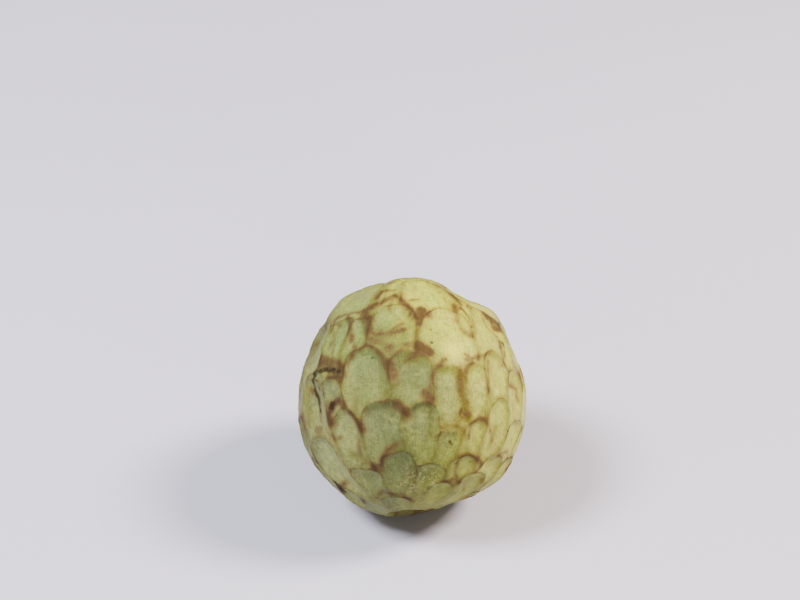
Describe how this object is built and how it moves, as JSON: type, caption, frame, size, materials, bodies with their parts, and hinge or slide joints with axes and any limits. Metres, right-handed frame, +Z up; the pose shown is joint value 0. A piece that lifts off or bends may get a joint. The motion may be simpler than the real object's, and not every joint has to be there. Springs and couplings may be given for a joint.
{
  "type": "custard apple",
  "caption": "Whole custard apple: a rounded heart-shaped fruit with shallow overlapping scales and a short cut stalk, lying on its shoulder.",
  "frame": {"origin": "on the table under the middle of the fruit", "axes": "+Z up, front towards -Y, stem end to the front and down, tip to the back and up"},
  "size_m": [0.0998, 0.1034, 0.0992],
  "materials": {
    "skin": "matt waxy green skin with brown rims and russet patches",
    "stalk": "dry cut stalk"
  },
  "bodies": {
    "root": {"fruit": "skin", "stem_stub": "stalk"}
  },
  "joints": []
}
